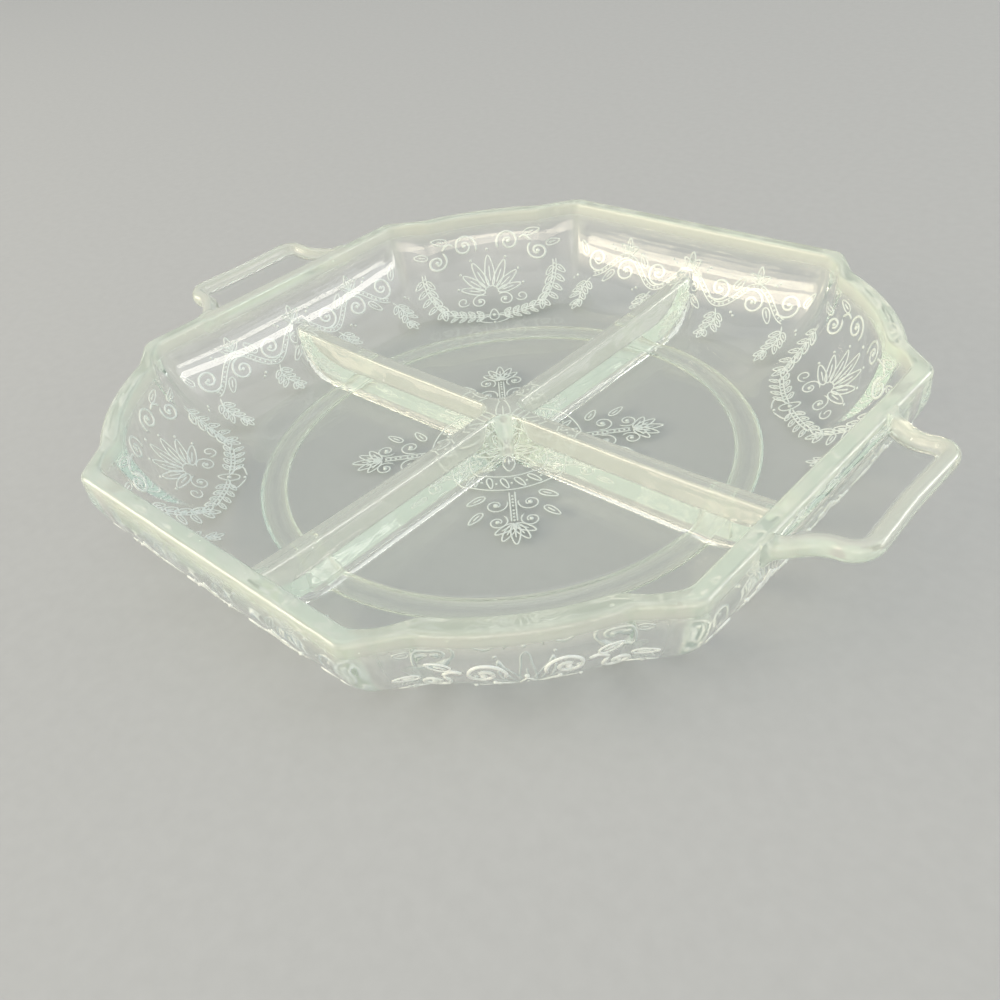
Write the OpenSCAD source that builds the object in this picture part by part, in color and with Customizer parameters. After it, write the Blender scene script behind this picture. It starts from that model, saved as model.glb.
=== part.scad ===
// Four-part relish tray of clear pressed glass, with four straight sides, four lobed
// corners and two solid tab handles. The origin is the middle of the foot ring on the
// table, +Z is up and the handles point along +X and -X.

/* [Overall size] */
// Distance across two opposite straight sides
side_span = 203.2; // [190:0.2:220]
// Height of the rim above the table
tray_h = 34; // [29:0.5:42]

/* [Rim outline] */
// Length of a straight side between the sharp corners of its two ears
side_len = 102.6; // [96:0.2:108]
// Angle by which the rim turns inward at an ear
ear_turn = 51.2; // [48:0.2:54]
// Length of the short edge that runs from an ear back to the notch
ear_edge = 14.2; // [12.5:0.1:16]
// Radius of the rounded ear
ear_r = 5; // [2:0.25:7]
// Radius of the hollow at a notch
notch_r = 9; // [4:0.5:12]
// How far the crown of a corner lobe stands beyond the line between its notches
lobe_rise = 3; // [1.5:0.1:5]

/* [Rim] */
// Width of the flat top of the rim on a straight side
rim_w = 5.1; // [4.2:0.1:7]
// How much narrower the rim is at an ear
ear_thinning = 1.4; // [0:0.1:1.8]
// Height of the upright band under the rim
band_h = 8; // [5:0.25:10]
// Radius of the outer edge of the rim
rim_outer_r = 1.6; // [0.6:0.1:2]
// Radius of the inner edge of the rim
rim_inner_r = 1; // [0.5:0.1:1.6]

/* [Floor and foot ring] */
// Diameter on which the walls leave the floor
floor_d = 147; // [144:0.5:152]
// Thickness of the floor
floor_t = 3; // [2.2:0.1:4.5]
// Length of the flat that the floor's outline has before each straight side
floor_flat = 28; // [22:0.5:34]
// Outer diameter of the foot ring
ring_d = 145.6; // [130:0.2:146]
// Width of the foot ring
ring_w = 6.5; // [4:0.1:10]
// Depth of the foot ring below the floor
ring_h = 1.5; // [1:0.1:3]

/* [Wall form] */
// Fullness of the outside of the wall, 2 being a plain quarter ellipse
outer_fullness = 2.2; // [1.9:0.05:2.6]
// Fullness of the inside of the wall
inner_fullness = 2.6; // [2.3:0.05:3.1]
// Share of the wall's spread that goes into an even slope
flare_share = 0.15; // [0.08:0.01:0.25]

/* [Dividers] */
// Height of the dividers above the floor at the hub
divider_h = 12.2; // [9:0.2:14]
// How much higher a divider's ridge is where it meets the wall
divider_rise = 2.3; // [0:0.1:4]
// Width of a divider where its flanks meet the floor
divider_base_w = 12.4; // [10:0.2:14]
// Width of a divider's ridge before its edges are rounded
ridge_w = 4.4; // [3.4:0.1:6]
// Radius of the ridge's edges
ridge_r = 1.8; // [0.8:0.1:2.1]
// Radius of the fillet between a flank and the floor
foot_fillet_r = 1.8; // [0.8:0.1:3]
// Radius of the hollow corners where two dividers meet
hub_fillet_r = 5; // [3:0.25:8]

/* [Handles] */
// How far a handle reaches out from its straight side
handle_reach = 20.2; // [19.6:0.2:24]
// Width of a handle where it leaves the rim
handle_root_w = 61; // [56:0.5:64]
// Width of a handle at its neck
handle_neck_w = 47; // [44:0.5:50]
// Distance of the neck from the straight side
handle_neck_out = 9.2; // [7:0.2:9.8]
// Width of a handle across its outer corners, before they are rounded
handle_end_w = 47.4; // [46:0.2:54]
// How far the outer edge of a handle is drawn in at its middle
handle_dip = 0.8; // [0:0.1:2]
// Radius of the outer corners of a handle
handle_corner_r = 6.8; // [6.6:0.2:8]
// Radius of the hollow at the neck
handle_neck_r = 7.5; // [5:0.5:9]
// Width of the raised border of a handle
border_w = 5.2; // [4.8:0.1:6]
// Height of the raised border of a handle
border_h = 5.2; // [5:0.1:6]
// Depth of the recess in the top of a handle, inside its border
web_recess = 2.2; // [1.2:0.1:2.3]
// Thickness of the web inside the border
web_t = 2.4; // [1.8:0.1:2.5]
// How far the top of the border lies below the top of the rim where they meet
handle_drop = 0.6; // [0.5:0.1:1.8]
// How much higher a handle is at its outer end than at the rim
handle_rise = 2.4; // [0:0.1:4]

/* [Hidden] */

// Colours of clear pressed glass, which looks greener where it is thick
thin_glass = [0.88, 0.92, 0.90, 0.55];
thick_glass = [0.78, 0.87, 0.82, 0.75];

// Overrun of cuts past the faces that they open
overrun = 1;
// Steps of the curves
ear_steps = 6;
notch_steps = 4;
lobe_steps = 5;
side_steps = 4;
outer_steps = 7;
inner_steps = 7;
edge_steps = 3;
hub_steps = 5;
ridge_steps = 8;
ring_facets = 96;

// Heights
floor_z = ring_h;
inside_z = ring_h + floor_t;
band_z = tray_h - band_h;
lip_z = tray_h - rim_inner_r;
half = side_span / 2;
inner_share = (half - rim_w) / half;

// Point at share t of the way from a to b
function mix(a, b, t) = a + (b - a) * t;
function unit(v) = v / norm(v);
function flip(list) = [for (i = [len(list) - 1:-1:0]) list[i]];
function tail(list) = [for (i = [1:1:len(list) - 1]) list[i]];

// Points of the arc of radius r that rounds the corner b of the path a, b, c
function corner_arc(a, b, c, r, steps) =
    let (u = unit(a - b), v = unit(c - b),
         gap = acos(min(1, max(-1, u * v))),
         mid = b + unit(u + v) * r / sin(gap / 2),
         from = b + u * r / tan(gap / 2) - mid,
         to = b + v * r / tan(gap / 2) - mid,
         start = atan2(from.y, from.x),
         turn = (atan2(to.y, to.x) - start + 540) % 360 - 180)
    [for (i = [0:steps]) mid + r * [cos(start + turn * i / steps), sin(start + turn * i / steps)]];

// Quarter of an ellipse of fullness p as pairs of spread and rise, up to the rise top
function wall_curve(p, top, steps) =
    let (last = acos(pow(1 - top, p / 2)))
    [for (i = [0:steps])
        let (a = last * i / steps, rise = i == 0 ? 0 : 1 - pow(cos(a), 2 / p),
             spread = i == 0 ? 0 : pow(sin(a), 2 / p))
        [(1 - flare_share) * spread + flare_share * rise, rise]];

// The rim's outline over an eighth of the tray, in three runs of points
ear = [half, side_len / 2];
notch = ear + ear_edge * [-sin(ear_turn), cos(ear_turn)];
notch_mirror = [notch.y, notch.x];
lobe_half = norm(notch - notch_mirror) / 2;
lobe_r = (lobe_half * lobe_half + lobe_rise * lobe_rise) / (2 * lobe_rise);
lobe_mid = norm(notch + notch_mirror) / 2 + lobe_rise - lobe_r;
lobe_sweep = asin(lobe_half / lobe_r);
function lobe_point(a) = lobe_mid * [cos(45), sin(45)] + lobe_r * [cos(45 + a), sin(45 + a)];
ear_arc = corner_arc([half, 0], ear, notch, ear_r, ear_steps);
notch_tangent = [cos(135 - lobe_sweep), sin(135 - lobe_sweep)];
notch_arc = corner_arc(ear, notch, notch + ear_edge * notch_tangent, notch_r, notch_steps);
notch_turn = ear_turn + lobe_sweep - 45;
lobe_start = lobe_sweep - notch_r * tan(notch_turn / 2) / lobe_r * 180 / PI;
lobe_arc = [for (i = [1:lobe_steps]) lobe_point(lobe_start * (i / lobe_steps - 1))];

// The floor's outline is a circle with a short flat before each straight side
floor_r = floor_d / 2;
flat_x = sqrt(floor_r * floor_r - floor_flat * floor_flat / 4);
flat_y = half * floor_flat / 2 / flat_x;

// Columns of the wall over half a straight side and over half a corner
side_run = [for (i = [0:side_steps - 1]) [half, mix(flat_y, ear_arc[0].y, i / side_steps)]];
half_side = concat([[half, 0]], side_run, [for (i = [0:ear_steps / 2]) ear_arc[i]]);
half_corner = concat([for (i = [ear_steps / 2:ear_steps]) ear_arc[i]], notch_arc, lobe_arc);
side_columns = concat(flip([for (p = half_side) [p.x, -p.y]]), tail(half_side));
corner_columns = concat(half_corner, tail(flip([for (p = half_corner) [p.y, p.x]])));

// Radius of the floor's outline, of the rim's inner edge and of the rim at a column
function floor_radius(p) = min(floor_r, flat_x * norm(p) / max(abs(p.x), abs(p.y)));
ear_from = atan2(ear_arc[0].y, ear_arc[0].x);
ear_to = atan2(lobe_arc[0].y, lobe_arc[0].x);
function ear_bell(p) =
    let (a = atan2(min(abs(p.x), abs(p.y)), max(abs(p.x), abs(p.y))),
         t = (a - ear_from) / (ear_to - ear_from))
    t <= 0 || t >= 1 ? 0 : pow(sin(180 * t), 2);
function lip_radius(p) = norm(p) * inner_share + ear_thinning * ear_bell(p);

// A point at radius r and height z in the upright plane of a column
function at(p, r, z) = [p.x / norm(p) * r, p.y / norm(p) * r, z];

band_rise = (band_z - inside_z) / (lip_z - inside_z);
outer_curve = wall_curve(outer_fullness, 1, outer_steps);
inner_curve = wall_curve(inner_fullness, band_rise, inner_steps);
band_spread = inner_curve[inner_steps][0];

// Section of the wall at a column, up the outside and down the inside
function wall_section(p) = concat(
    [for (c = outer_curve)
        at(p, mix(floor_radius(p), norm(p), c[0]), mix(floor_z, band_z, c[1]))],
    [for (c = flip(inner_curve))
        at(p, mix(floor_radius(p), lip_radius(p), c[0]), mix(inside_z, lip_z, c[1]))]);

// Section of the rim at a column, up the outside, over the top and down the inside
function rim_section(p) = concat(
    [at(p, norm(p), band_z)],
    [for (i = [0:edge_steps])
        let (a = 90 * i / edge_steps)
        at(p, norm(p) - rim_outer_r * (1 - cos(a)), tray_h - rim_outer_r * (1 - sin(a)))],
    [for (i = [0:edge_steps - 1])
        let (a = 90 * i / (edge_steps - 1))
        at(p, lip_radius(p) + rim_inner_r * (1 - sin(a)), lip_z + rim_inner_r * cos(a))],
    [at(p, mix(floor_radius(p), lip_radius(p), band_spread), band_z)]);

// Closed solid through sections that have the same number of points. Its ends are
// flat faces, or fans about the points in middles.
module loft(sections, middles = []) {
    n = len(sections[0]);
    m = len(sections);
    points = concat([for (s = sections) each s], middles);
    sides = [for (j = [0:m - 2]) for (i = [0:n - 1])
        let (k = (i + 1) % n, a = j * n + i, b = j * n + k)
        each [[a, b, b + n], [a, b + n, a + n]]];
    first = [for (i = [n - 1:-1:0]) i];
    last = [for (i = [0:n - 1]) (m - 1) * n + i];
    ends = len(middles) == 0 ? [first, last] : concat(
        [for (i = [0:n - 1]) [first[i], first[(i + 1) % n], m * n]],
        [for (i = [0:n - 1]) [last[i], last[(i + 1) % n], m * n + 1]]);
    polyhedron(points = points, faces = concat(sides, ends), convexity = 6);
}

module side_wall() { loft([for (p = side_columns) wall_section(p)]); }
module corner_wall() { loft([for (p = corner_columns) wall_section(p)]); }
module side_rim() { loft([for (p = side_columns) rim_section(p)]); }
module corner_rim() { loft([for (p = corner_columns) rim_section(p)]); }

// Half of a divider's section as widths and heights above the floor, foot to ridge. The
// hub ends a short land past its hollow corners.
foot_out = divider_base_w / 2 + foot_fillet_r * 2;
flank_foot = [divider_base_w / 2, 0];
flank_top = [ridge_w / 2, divider_h];
half_section = concat(
    corner_arc([foot_out, 0], flank_foot, flank_top, foot_fillet_r, edge_steps),
    corner_arc(flank_foot, flank_top, [0, divider_h], ridge_r, edge_steps));
hub_land = 1;
hub_reach = half_section[0].x + hub_fillet_r + hub_land;

// Outline of the hub at one width of the dividers, with four hollow corners
function hub_quarter(w) = concat(
    [[hub_reach, w]],
    [for (i = [0:hub_steps])
        let (a = 90 * i / hub_steps)
        [w + hub_fillet_r * (1 - sin(a)), w + hub_fillet_r * (1 - cos(a))]],
    [[w, hub_reach]]);
function turned(p, a) = [p.x * cos(a) - p.y * sin(a), p.x * sin(a) + p.y * cos(a)];
function hub_outline(w, z) = [for (q = [0:3]) for (p = hub_quarter(w))
    let (t = turned(p, 90 * q)) [t.x, t.y, inside_z + z]];

// Section of a divider at a distance out from the middle of the hub
function ridge_lift(x) = 1 + divider_rise / divider_h * pow((x - hub_reach) / (half - hub_reach), 3);
function divider_section(x) = [for (side = [-1, 1])
    for (p = side < 0 ? half_section : flip(half_section))
    [x, side * p.x, inside_z + p.y * ridge_lift(x)]];

// The inside of a straight wall as a solid that trims the divider's end
module wall_trim() {
    profile = [for (c = inner_curve)
        [mix(flat_x, half - rim_w, c[0]), mix(inside_z, lip_z, c[1])]];
    far = half + overrun;
    rotate([90, 0, 0])
        linear_extrude(floor_flat, center = true)
            polygon(concat(
                [[flat_x, inside_z - overrun]], profile,
                [[far, band_z], [far, inside_z - overrun]]));
}

module divider() {
    difference() {
        loft([for (i = [0:ridge_steps]) divider_section(mix(hub_reach, half, i / ridge_steps))]);
        wall_trim();
    }
}

// Path with its inner corners rounded, from its first point to its last
function rounded(path, radii, steps) = concat(
    [path[0]],
    [for (i = [1:len(path) - 2]) each corner_arc(path[i - 1], path[i], path[i + 1], radii[i - 1], steps)],
    [path[len(path) - 1]]);

// Corner b of the path a, b, c moved in by w, square to both of its edges
function left_of(a, b) = let (u = unit(b - a)) [-u.y, u.x];
function moved_in(a, b, c, w) =
    let (m = left_of(a, b), n = left_of(b, c)) b + (m + n) * w / (1 + m * n);

// Outline of a handle from the side wall, round its end and back, for y above zero first
handle_end = half + handle_reach;
outer_half = [[half, handle_root_w / 2], [half + handle_neck_out, handle_neck_w / 2],
    [handle_end, handle_end_w / 2], [handle_end - handle_dip, 0]];
root_slope = (handle_root_w - handle_neck_w) / 2 / handle_neck_out;
root_shift = border_w * sqrt(1 + root_slope * root_slope);
inner_half = [
    [half, handle_root_w / 2 - root_shift],
    moved_in(outer_half[2], outer_half[1], outer_half[0], border_w),
    moved_in(outer_half[3], outer_half[2], outer_half[1], border_w),
    [handle_end - handle_dip - border_w, 0]];
outer_path = rounded(outer_half, [handle_neck_r, handle_corner_r], ear_steps);
inner_path = rounded(inner_half, [handle_neck_r + border_w, handle_corner_r - border_w], ear_steps);
function both_sides(path) = concat(path, tail(flip([for (p = path) [p.x, -p.y]])));
outer_line = both_sides(outer_path);
inner_line = both_sides(inner_path);

// Heights and edge radii of the border, whose inner face is as high as the web
border_top = tray_h - handle_drop;
border_z = border_top - border_h;
web_z = border_top - web_recess - web_t;
bead_share = 0.44;
bead_out = border_h * bead_share;
bead_under = web_z - border_z;

// Section of the border as shares of its width from the outer line, and heights
function bead(share, z, sx, sz, r) = [for (i = [0:edge_steps])
    let (a = 90 * i / edge_steps)
    [share + sx * r / border_w * (1 - cos(a)), z + sz * r * (1 - sin(a))]];
border_section = concat(
    bead(0, border_z, 1, 1, bead_out),
    flip(bead(1, border_z, -1, 1, bead_under)),
    bead(1, border_top, -1, -1, web_recess),
    flip(bead(0, border_top, 1, -1, bead_out)));

// Point of a handle over the plan point p, for the height z that it would have at the rim
function raised(p, z) = [p.x, p.y, z + handle_rise * (p.x - half) / handle_reach];

module handle_border() {
    loft([for (i = [0:len(outer_line) - 1]) [for (s = border_section)
        raised(mix(outer_line[i], inner_line[i], s[0]), s[1])]]);
}

module handle_web() {
    middle = [half + handle_reach / 2, 0];
    faces = [web_z, web_z + web_t];
    loft([for (z = faces) [for (p = inner_line) raised(p, z)]], [for (z = faces) raised(middle, z)]);
}

module floor_plate() {
    color(thin_glass)
        translate([0, 0, floor_z])
            linear_extrude(floor_t)
                polygon([for (q = [0:3]) for (p = tail(concat(side_columns, tail(corner_columns))))
                    let (t = turned(p, 90 * q)) unit(t) * floor_radius(t)]);
}

module foot_ring() {
    edge = ring_h / 3;
    outer = ring_d / 2;
    inner = outer - ring_w;
    color(thick_glass)
        rotate_extrude($fn = ring_facets)
            polygon([[inner, ring_h], [inner, edge], [inner + edge, 0],
                [outer - edge, 0], [outer, edge], [outer, ring_h]]);
}

module wall_right() { color(thin_glass) side_wall(); }
module wall_back() { color(thin_glass) rotate([0, 0, 90]) side_wall(); }
module wall_left() { color(thin_glass) rotate([0, 0, 180]) side_wall(); }
module wall_front() { color(thin_glass) rotate([0, 0, 270]) side_wall(); }

module corner_back_right() { color(thin_glass) corner_wall(); }
module corner_back_left() { color(thin_glass) rotate([0, 0, 90]) corner_wall(); }
module corner_front_left() { color(thin_glass) rotate([0, 0, 180]) corner_wall(); }
module corner_front_right() { color(thin_glass) rotate([0, 0, 270]) corner_wall(); }

module rim_right() { color(thick_glass) side_rim(); }
module rim_back() { color(thick_glass) rotate([0, 0, 90]) side_rim(); }
module rim_left() { color(thick_glass) rotate([0, 0, 180]) side_rim(); }
module rim_front() { color(thick_glass) rotate([0, 0, 270]) side_rim(); }

module rim_back_right() { color(thick_glass) corner_rim(); }
module rim_back_left() { color(thick_glass) rotate([0, 0, 90]) corner_rim(); }
module rim_front_left() { color(thick_glass) rotate([0, 0, 180]) corner_rim(); }
module rim_front_right() { color(thick_glass) rotate([0, 0, 270]) corner_rim(); }

module divider_hub() {
    color(thick_glass)
        loft([for (p = flip(half_section)) hub_outline(p.x, p.y)],
            [[0, 0, inside_z + divider_h], [0, 0, inside_z]]);
}
module divider_right() { color(thick_glass) divider(); }
module divider_back() { color(thick_glass) rotate([0, 0, 90]) divider(); }
module divider_left() { color(thick_glass) rotate([0, 0, 180]) divider(); }
module divider_front() { color(thick_glass) rotate([0, 0, 270]) divider(); }

module handle_right_border() { color(thick_glass) handle_border(); }
module handle_right_web() { color(thin_glass) handle_web(); }
module handle_left_border() { color(thick_glass) rotate([0, 0, 180]) handle_border(); }
module handle_left_web() { color(thin_glass) rotate([0, 0, 180]) handle_web(); }

floor_plate();
foot_ring();
wall_right();
wall_back();
wall_left();
wall_front();
corner_back_right();
corner_back_left();
corner_front_left();
corner_front_right();
rim_right();
rim_back();
rim_left();
rim_front();
rim_back_right();
rim_back_left();
rim_front_left();
rim_front_right();
divider_hub();
divider_right();
divider_back();
divider_left();
divider_front();
handle_right_border();
handle_right_web();
handle_left_border();
handle_left_web();
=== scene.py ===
import math

import bmesh
import bpy
from mathutils import Matrix, Vector


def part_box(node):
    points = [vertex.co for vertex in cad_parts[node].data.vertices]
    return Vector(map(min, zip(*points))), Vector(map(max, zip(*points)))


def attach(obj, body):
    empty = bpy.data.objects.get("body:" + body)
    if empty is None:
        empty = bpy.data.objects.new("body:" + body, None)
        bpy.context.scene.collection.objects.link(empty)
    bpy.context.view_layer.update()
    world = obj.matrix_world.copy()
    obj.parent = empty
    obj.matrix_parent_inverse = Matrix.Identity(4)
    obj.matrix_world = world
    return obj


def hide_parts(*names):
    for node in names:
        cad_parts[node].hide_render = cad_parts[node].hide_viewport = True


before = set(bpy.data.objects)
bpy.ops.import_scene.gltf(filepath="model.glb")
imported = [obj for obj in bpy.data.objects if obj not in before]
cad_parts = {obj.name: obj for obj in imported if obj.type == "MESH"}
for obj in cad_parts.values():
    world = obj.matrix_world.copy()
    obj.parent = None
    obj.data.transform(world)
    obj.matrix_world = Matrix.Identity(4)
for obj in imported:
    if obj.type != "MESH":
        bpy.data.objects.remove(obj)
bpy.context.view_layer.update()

MM = 0.001
QUARTER_TURN = math.radians(90)
EIGHTH_TURN = math.radians(45)

# Heights and reaches of the moulding, from the frame
rim_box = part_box("rim_right")
floor_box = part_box("floor_plate")
half = rim_box[1].x
rim_top = rim_box[1].z
band_z = rim_box[0].z
under_z = floor_box[0].z
inside_z = floor_box[1].z
ring_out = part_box("foot_ring")[1].x
ridge_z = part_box("divider_hub")[1].z
handle_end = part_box("handle_right_border")[1].x

# Rim outline
side_len = 102.6 * MM
ear_turn = math.radians(51.2)
ear_edge = 14.2 * MM
ear_r = 5 * MM
notch_r = 9 * MM
lobe_rise = 3 * MM
rim_w = 5.1 * MM
ear_thinning = 1.4 * MM
rim_outer_r = 1.6 * MM
rim_inner_r = 1.0 * MM
lip_z = rim_top - rim_inner_r

# Floor, foot ring and wall form
floor_r = 73.5 * MM
floor_flat = 28 * MM
ring_w = 6.5 * MM
ring_edge_r = 0.5 * MM
ring_fillet_r = 0.9 * MM
outer_fullness = 2.2
inner_fullness = 2.6
flare_share = 0.15
ring_in = ring_out - ring_w

# Dividers
divider_foot = 6.2 * MM
ridge_half = 2.2 * MM
divider_rise = 2.3 * MM
rise_power = 3
hub_reach = 13.5 * MM
ridge_soft = 1.6 * MM
foot_soft = 2.6 * MM
hub_soft = 15 * MM
wall_soft = 3.0 * MM
wall_soft_share = 0.5

# Handles
handle_root = 30.5 * MM
handle_neck = 23.5 * MM
handle_neck_out = 9.2 * MM
handle_half = 23.7 * MM
handle_dip = 0.8 * MM
handle_corner_r = 6.8 * MM
handle_neck_r = 7.5 * MM
handle_drop = 0.6 * MM
handle_rise = 2.4 * MM
border_w = 5.2 * MM
border_h = 5.2 * MM
web_recess = 2.2 * MM
web_t = 2.4 * MM
crown_share = 0.44
slope_share = 0.44
root_depth = 2.5 * MM
root_r = 1.9 * MM
root_least_share = 0.1
root_top_gap = 0.15 * MM
spine_gap = 12 * MM

# How far lanes of cells reach beside a divider, and how many there are up to there
lane_runs = ((1.2 * MM, 2), (3.4 * MM, 8), (5.0 * MM, 3), (8.2 * MM, 8), (9.6 * MM, 1))

# Cells along the stretches of the rim's outline and round the foot ring's section
SIDE_CELLS, EAR_CELLS, EDGE_CELLS, NOTCH_CELLS, LOBE_CELLS = 12, 9, 5, 6, 10
RING_FLAT_CELLS, RING_ROUND_CELLS = 2, 6

# Cells of a handle: outwards, across to its middle, over its border, round its crown and corners
SIDE_ROWS, HALF_COLUMNS, BORDER_ROWS, BEAD_ROWS, HANDLE_ARC = 46, 30, 17, 8, 12

# Points closer than these are one point: on a grid of whole cells, in metres, and as shares
same_cell = 0.1
same_place = 0.001 * MM
same_share = 1e-9

# Edges that turn by more than this are shaded sharp
sharp_edge = math.radians(28)


def mix(a, b, t):
    """The value at a share t of the way from a to b."""
    return a + (b - a) * t


def smooth_max(a, b, width):
    """The larger of a and b, rounded over where they differ by less than width."""
    h = max(width - abs(a - b), 0.0) / width
    return max(a, b) + h * h * width / 4


def smooth_min(a, b, width):
    return -smooth_max(-a, -b, width)


def ease(t):
    """A share from 0 to 1 that starts and ends gently."""
    t = min(max(t, 0.0), 1.0)
    return t * t * (3 - 2 * t)


def heading(turn):
    """A step of 1 in plan in the direction turn."""
    return Vector((math.cos(turn), math.sin(turn)))


def spaced(a, b, steps):
    """Even steps from a to b, without a itself."""
    return [mix(a, b, i / steps) for i in range(1, steps + 1)]


def corner_arc(a, b, c, r, steps):
    """Points of the arc of radius r that rounds the corner b of the path a, b, c."""
    u, v = (a - b).normalized(), (c - b).normalized()
    gap = math.acos(max(-1, min(1, u.dot(v))))
    mid = b + (u + v).normalized() * r / math.sin(gap / 2)
    start = b + u * r / math.tan(gap / 2) - mid
    end = b + v * r / math.tan(gap / 2) - mid
    first = math.atan2(start.y, start.x)
    turn = (math.atan2(end.y, end.x) - first + 3 * math.pi) % (2 * math.pi) - math.pi
    return [mid + heading(first + turn * i / steps) * r for i in range(steps + 1)]


# The rim's outline over an eighth of the tray, from the middle of a straight side to the
# crown of a lobe
ear = Vector((half, side_len / 2))
notch = ear + Vector((-math.sin(ear_turn), math.cos(ear_turn))) * ear_edge
lobe_half = (notch - notch.yx).length / 2
lobe_r = (lobe_half ** 2 + lobe_rise ** 2) / (2 * lobe_rise)
lobe_mid = (notch + notch.yx).length / 2 + lobe_rise - lobe_r
lobe_sweep = math.asin(lobe_half / lobe_r)
notch_turn = ear_turn + lobe_sweep - EIGHTH_TURN
lobe_start = lobe_sweep - notch_r * math.tan(notch_turn / 2) / lobe_r
after_notch = notch + heading(QUARTER_TURN + EIGHTH_TURN - lobe_sweep) * ear_edge


def on_lobe(turn):
    """Point of a lobe's arc at a turn about the arc's middle, from the lobe's crown."""
    return heading(EIGHTH_TURN) * lobe_mid + heading(EIGHTH_TURN + turn) * lobe_r


lanes = [0.0]
for reach, steps in lane_runs:
    lanes += spaced(lanes[-1], reach, steps)
LANES = len(lanes) - 1

ear_arc = corner_arc(Vector((half, 0)), ear, notch, ear_r, EAR_CELLS)
notch_arc = corner_arc(ear, notch, after_notch, notch_r, NOTCH_CELLS)
side_run = spaced(Vector((half, lanes[-1])), ear_arc[0], SIDE_CELLS)
edge_run = spaced(ear_arc[-1], notch_arc[0], EDGE_CELLS)
lobe_run = [on_lobe(-lobe_start + lobe_start * i / LOBE_CELLS) for i in range(1, LOBE_CELLS + 1)]
outline = side_run + ear_arc[1:] + edge_run + notch_arc[1:] + lobe_run
outline_turns = [math.atan2(p.y, p.x) for p in outline]
COLUMNS = LANES + len(outline)

flat_x = math.sqrt(floor_r ** 2 - (floor_flat / 2) ** 2)
lip_share = (half - rim_w) / half
lane_floor_turn = math.atan2(lanes[-1], flat_x)
floor_span = EIGHTH_TURN - lane_floor_turn
rim_span = EIGHTH_TURN - math.atan2(lanes[-1], half)
ear_from = math.atan2(ear_arc[0].y, ear_arc[0].x)
ear_to = math.atan2(lobe_run[0].y, lobe_run[0].x)


def folded(turn):
    """A direction brought into the eighth from 0 to 45 degrees."""
    turn = abs((turn + math.pi) % (2 * math.pi) - math.pi)
    turn = min(turn, math.pi - turn)
    return min(turn, QUARTER_TURN - turn)


def rim_radius(turn):
    """Distance of the rim's outline from the middle in a direction."""
    turn = folded(turn)
    if turn <= outline_turns[0]:
        return half / math.cos(turn)
    for i in range(1, len(outline)):
        if turn <= outline_turns[i]:
            a = outline[i - 1]
            line = outline[i] - a
            return a.cross(line) / heading(turn).cross(line)
    return outline[-1].length


def floor_radius(turn):
    return min(floor_r, flat_x / math.cos(folded(turn)))


def lip_radius(turn):
    """The same for the inside of the rim, which is narrower at the ears."""
    t = (folded(turn) - ear_from) / (ear_to - ear_from)
    bell = math.sin(math.pi * t) ** 2 if 0 < t < 1 else 0
    return rim_radius(turn) * lip_share + ear_thinning * bell


def wall_curve(a, fullness):
    """Spread and rise of a wall at an angle a from 0 to 90 degrees along its curve."""
    rise = 1 - max(math.cos(a), 0.0) ** (2 / fullness)
    spread = max(math.sin(a), 0.0) ** (2 / fullness)
    return mix(spread, rise, flare_share), rise


def quarter_round(steps):
    """How far sine and cosine leave 1 at each step of a quarter turn."""
    turns = [QUARTER_TURN * i / steps for i in range(1, steps + 1)]
    return [(1 - math.sin(a), 1 - math.cos(a)) for a in turns]


# Section of the foot ring from its outer side to the underside of the floor, as (radius, height)
ring_section = [(ring_out, z) for z in spaced(under_z, ring_edge_r, RING_FLAT_CELLS)]
for sine, cosine in quarter_round(RING_ROUND_CELLS):
    ring_section.append((ring_out - ring_edge_r * cosine, ring_edge_r * sine))
for r in spaced(ring_out - ring_edge_r, ring_in + ring_edge_r, RING_FLAT_CELLS):
    ring_section.append((r, 0.0))
for sine, cosine in quarter_round(RING_ROUND_CELLS):
    ring_section.append((ring_in + ring_edge_r * sine, ring_edge_r * cosine))
for sine, cosine in quarter_round(RING_ROUND_CELLS):
    ring_section.append((ring_in - ring_fillet_r * cosine, under_z - ring_fillet_r * sine))

# Rows of the mesh from the floor inside the tray, up the wall, over the rim and down the
# outside to the foot ring, each as (run, share of the way along that run)
INSIDE, LIP, TOP, EDGE, BAND, OUTSIDE, RING = range(7)
run_rows = {INSIDE: 34, LIP: 4, TOP: 4, EDGE: 7, BAND: 5, OUTSIDE: 28, RING: len(ring_section)}
rows = [(run, i / steps) for run, steps in run_rows.items() for i in range(1, steps + 1)]

flank_slope = (ridge_z - inside_z) / (divider_foot - ridge_half)


def divider_height(x, y):
    """Height of the crossed dividers over a point, which is far below the floor off them."""
    x, y = abs(x), abs(y)
    out = max(0, (max(x, y) - hub_reach) / (half - hub_reach))
    lift = 1 + divider_rise / (ridge_z - inside_z) * out ** rise_power
    flanks = smooth_max((divider_foot - x) * flank_slope, (divider_foot - y) * flank_slope, hub_soft)
    return inside_z + smooth_min(ridge_z - inside_z, flanks, ridge_soft) * lift


def plan_turns(column):
    """Directions at the floor and at the rim of a column beyond the lanes."""
    at_rim = outline_turns[column - LANES - 1]
    return EIGHTH_TURN - (EIGHTH_TURN - at_rim) * floor_span / rim_span, at_rim


def floor_turn(column):
    return lane_floor_turn if column == LANES else plan_turns(column)[0]


def settle(i, j, far, near):
    """A point by its distances out along an axis and off it, put in the eighth that holds i, j."""
    x, y = (far, near) if abs(i) >= abs(j) else (near, far)
    return Vector((math.copysign(x, i), math.copysign(y, j), 0))


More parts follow.
